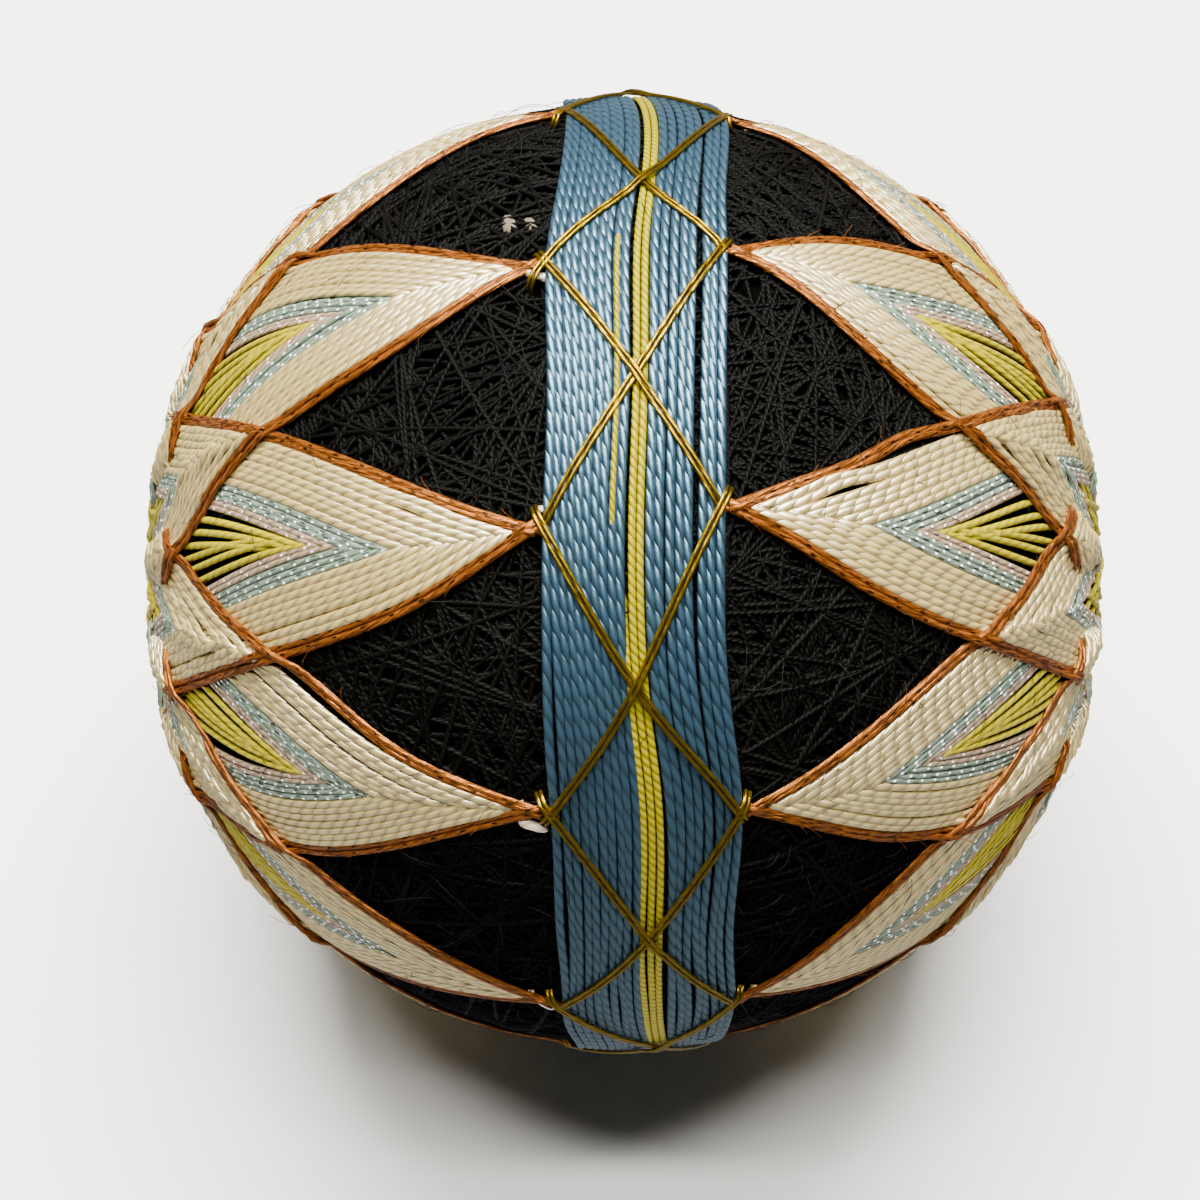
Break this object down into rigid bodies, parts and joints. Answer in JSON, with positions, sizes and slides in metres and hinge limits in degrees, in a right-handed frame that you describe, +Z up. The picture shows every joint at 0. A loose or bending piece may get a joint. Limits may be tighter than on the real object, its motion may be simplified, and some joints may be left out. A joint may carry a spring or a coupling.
{
  "type": "temari ball",
  "caption": "Thread-wound decorative ball with interlocked four-pointed petals stitched round both poles, a wrapped middle band and a gold crisscross.",
  "frame": {"origin": "middle of the flat spot that the ball rests on, at the bottom of its box", "axes": "+Z up, X through the two poles of the stitched pattern, the band in the YZ plane"},
  "size_m": [0.0912, 0.0898, 0.0888],
  "materials": {
    "black_thread": "matt wound thread",
    "blue_thread": "glossy twisted cotton",
    "band_yellow_thread": "glossy twisted cotton",
    "copper_thread": "metallic braid",
    "cream_thread": "glossy twisted cotton",
    "aqua_thread": "cotton with a metallic glint",
    "yellow_thread": "twisted cotton",
    "gold_thread": "metallic braid"
  },
  "bodies": {
    "root": {"ball_black": "black_thread", "band_blue_left": "blue_thread", "band_yellow": "band_yellow_thread", "band_blue_right": "blue_thread", "petals_copper_left_1": "copper_thread", "petals_cream_left_1": "cream_thread", "petals_aqua_left_1": "aqua_thread", "petals_yellow_left_1": "yellow_thread", "petals_copper_left_2": "copper_thread", "petals_cream_left_2": "cream_thread", "petals_aqua_left_2": "aqua_thread", "petals_yellow_left_2": "yellow_thread", "petals_copper_left_3": "copper_thread", "petals_cream_left_3": "cream_thread", "petals_aqua_left_3": "aqua_thread", "petals_yellow_left_3": "yellow_thread", "petals_copper_right_1": "copper_thread", "petals_cream_right_1": "cream_thread", "petals_aqua_right_1": "aqua_thread", "petals_yellow_right_1": "yellow_thread", "petals_copper_right_2": "copper_thread", "petals_cream_right_2": "cream_thread", "petals_aqua_right_2": "aqua_thread", "petals_yellow_right_2": "yellow_thread", "petals_copper_right_3": "copper_thread", "petals_cream_right_3": "cream_thread", "petals_aqua_right_3": "aqua_thread", "petals_yellow_right_3": "yellow_thread", "crisscross_gold": "gold_thread"}
  },
  "joints": []
}
